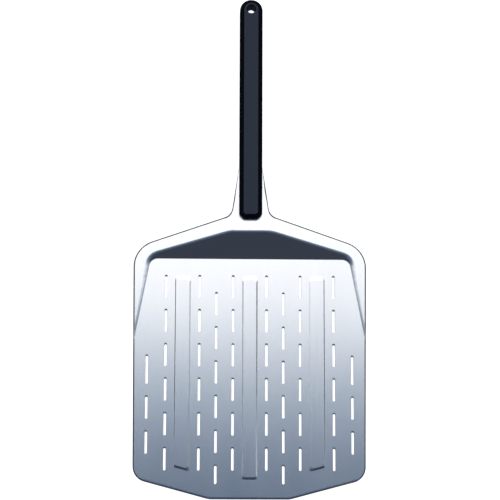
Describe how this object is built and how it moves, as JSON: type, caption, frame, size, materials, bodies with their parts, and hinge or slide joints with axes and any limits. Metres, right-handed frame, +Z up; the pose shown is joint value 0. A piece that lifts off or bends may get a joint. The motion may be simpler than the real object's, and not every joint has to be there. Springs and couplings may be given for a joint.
{
  "type": "pizza peel",
  "caption": "Perforated metal pizza peel: a flat slotted blade with raised ribs and a stepped neck, clamped in a straight moulded handle with a hang hole.",
  "frame": {"origin": "on the surface that the peel lies on, under the middle of its length and width", "axes": "+Z up, +Y along the peel towards the handle's end, +X to the right seen from above with the handle pointing away"},
  "size_m": [0.3038, 0.655, 0.0335],
  "materials": {
    "blade_aluminium": "satin anodised, brushed lengthwise",
    "handle_nylon": "fine-grained black moulding",
    "screw_steel": "plain stainless",
    "insert_brass": "knurled brass"
  },
  "bodies": {
    "root": {"blade": "blade_aluminium", "handle_top_shell": "handle_nylon", "handle_bottom_shell": "handle_nylon", "handle_screw_1": "screw_steel", "handle_screw_2": "screw_steel", "handle_screw_3": "screw_steel", "handle_screw_4": "screw_steel", "handle_screw_5": "screw_steel", "threaded_insert_1": "insert_brass", "threaded_insert_2": "insert_brass", "threaded_insert_3": "insert_brass", "threaded_insert_4": "insert_brass", "threaded_insert_5": "insert_brass"}
  },
  "joints": []
}
